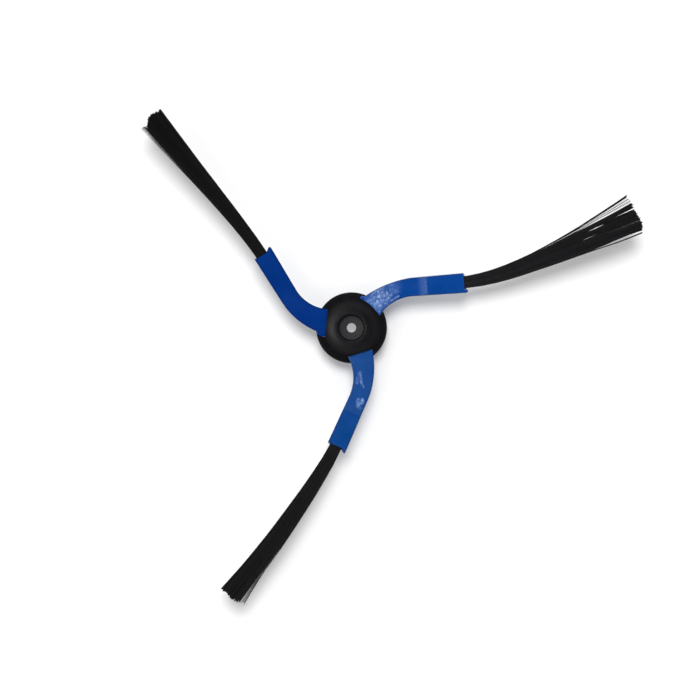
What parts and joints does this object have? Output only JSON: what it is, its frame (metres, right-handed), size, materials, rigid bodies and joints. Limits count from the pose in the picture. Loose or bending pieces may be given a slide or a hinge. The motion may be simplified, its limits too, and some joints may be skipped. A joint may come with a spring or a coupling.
{
  "type": "robot vacuum side brush",
  "caption": "Side brush for a robot vacuum: a domed hub with a square drive socket and a screw hole carries curved soft arms that end in long bristle tufts and sweep dust inward.",
  "frame": {"origin": "on the hub's axis, in the plane of the drive collar's end face", "axes": "+Z along the hub's axis, out of the drive collar towards the screw's side; seen from +Z the right arm leaves the hub at 48 degrees from +X towards +Y"},
  "size_m": [0.1569, 0.1544, 0.0137],
  "materials": {
    "hub_plastic": "fine moulded satin",
    "arm_rubber": "smooth semi-gloss elastomer",
    "bristle_nylon": "drawn nylon filament"
  },
  "bodies": {
    "root": {"hub": "hub_plastic", "right_arm": "arm_rubber", "left_arm": "arm_rubber", "lower_arm": "arm_rubber", "right_bristles": "bristle_nylon", "left_bristles": "bristle_nylon", "lower_bristles": "bristle_nylon"}
  },
  "joints": []
}
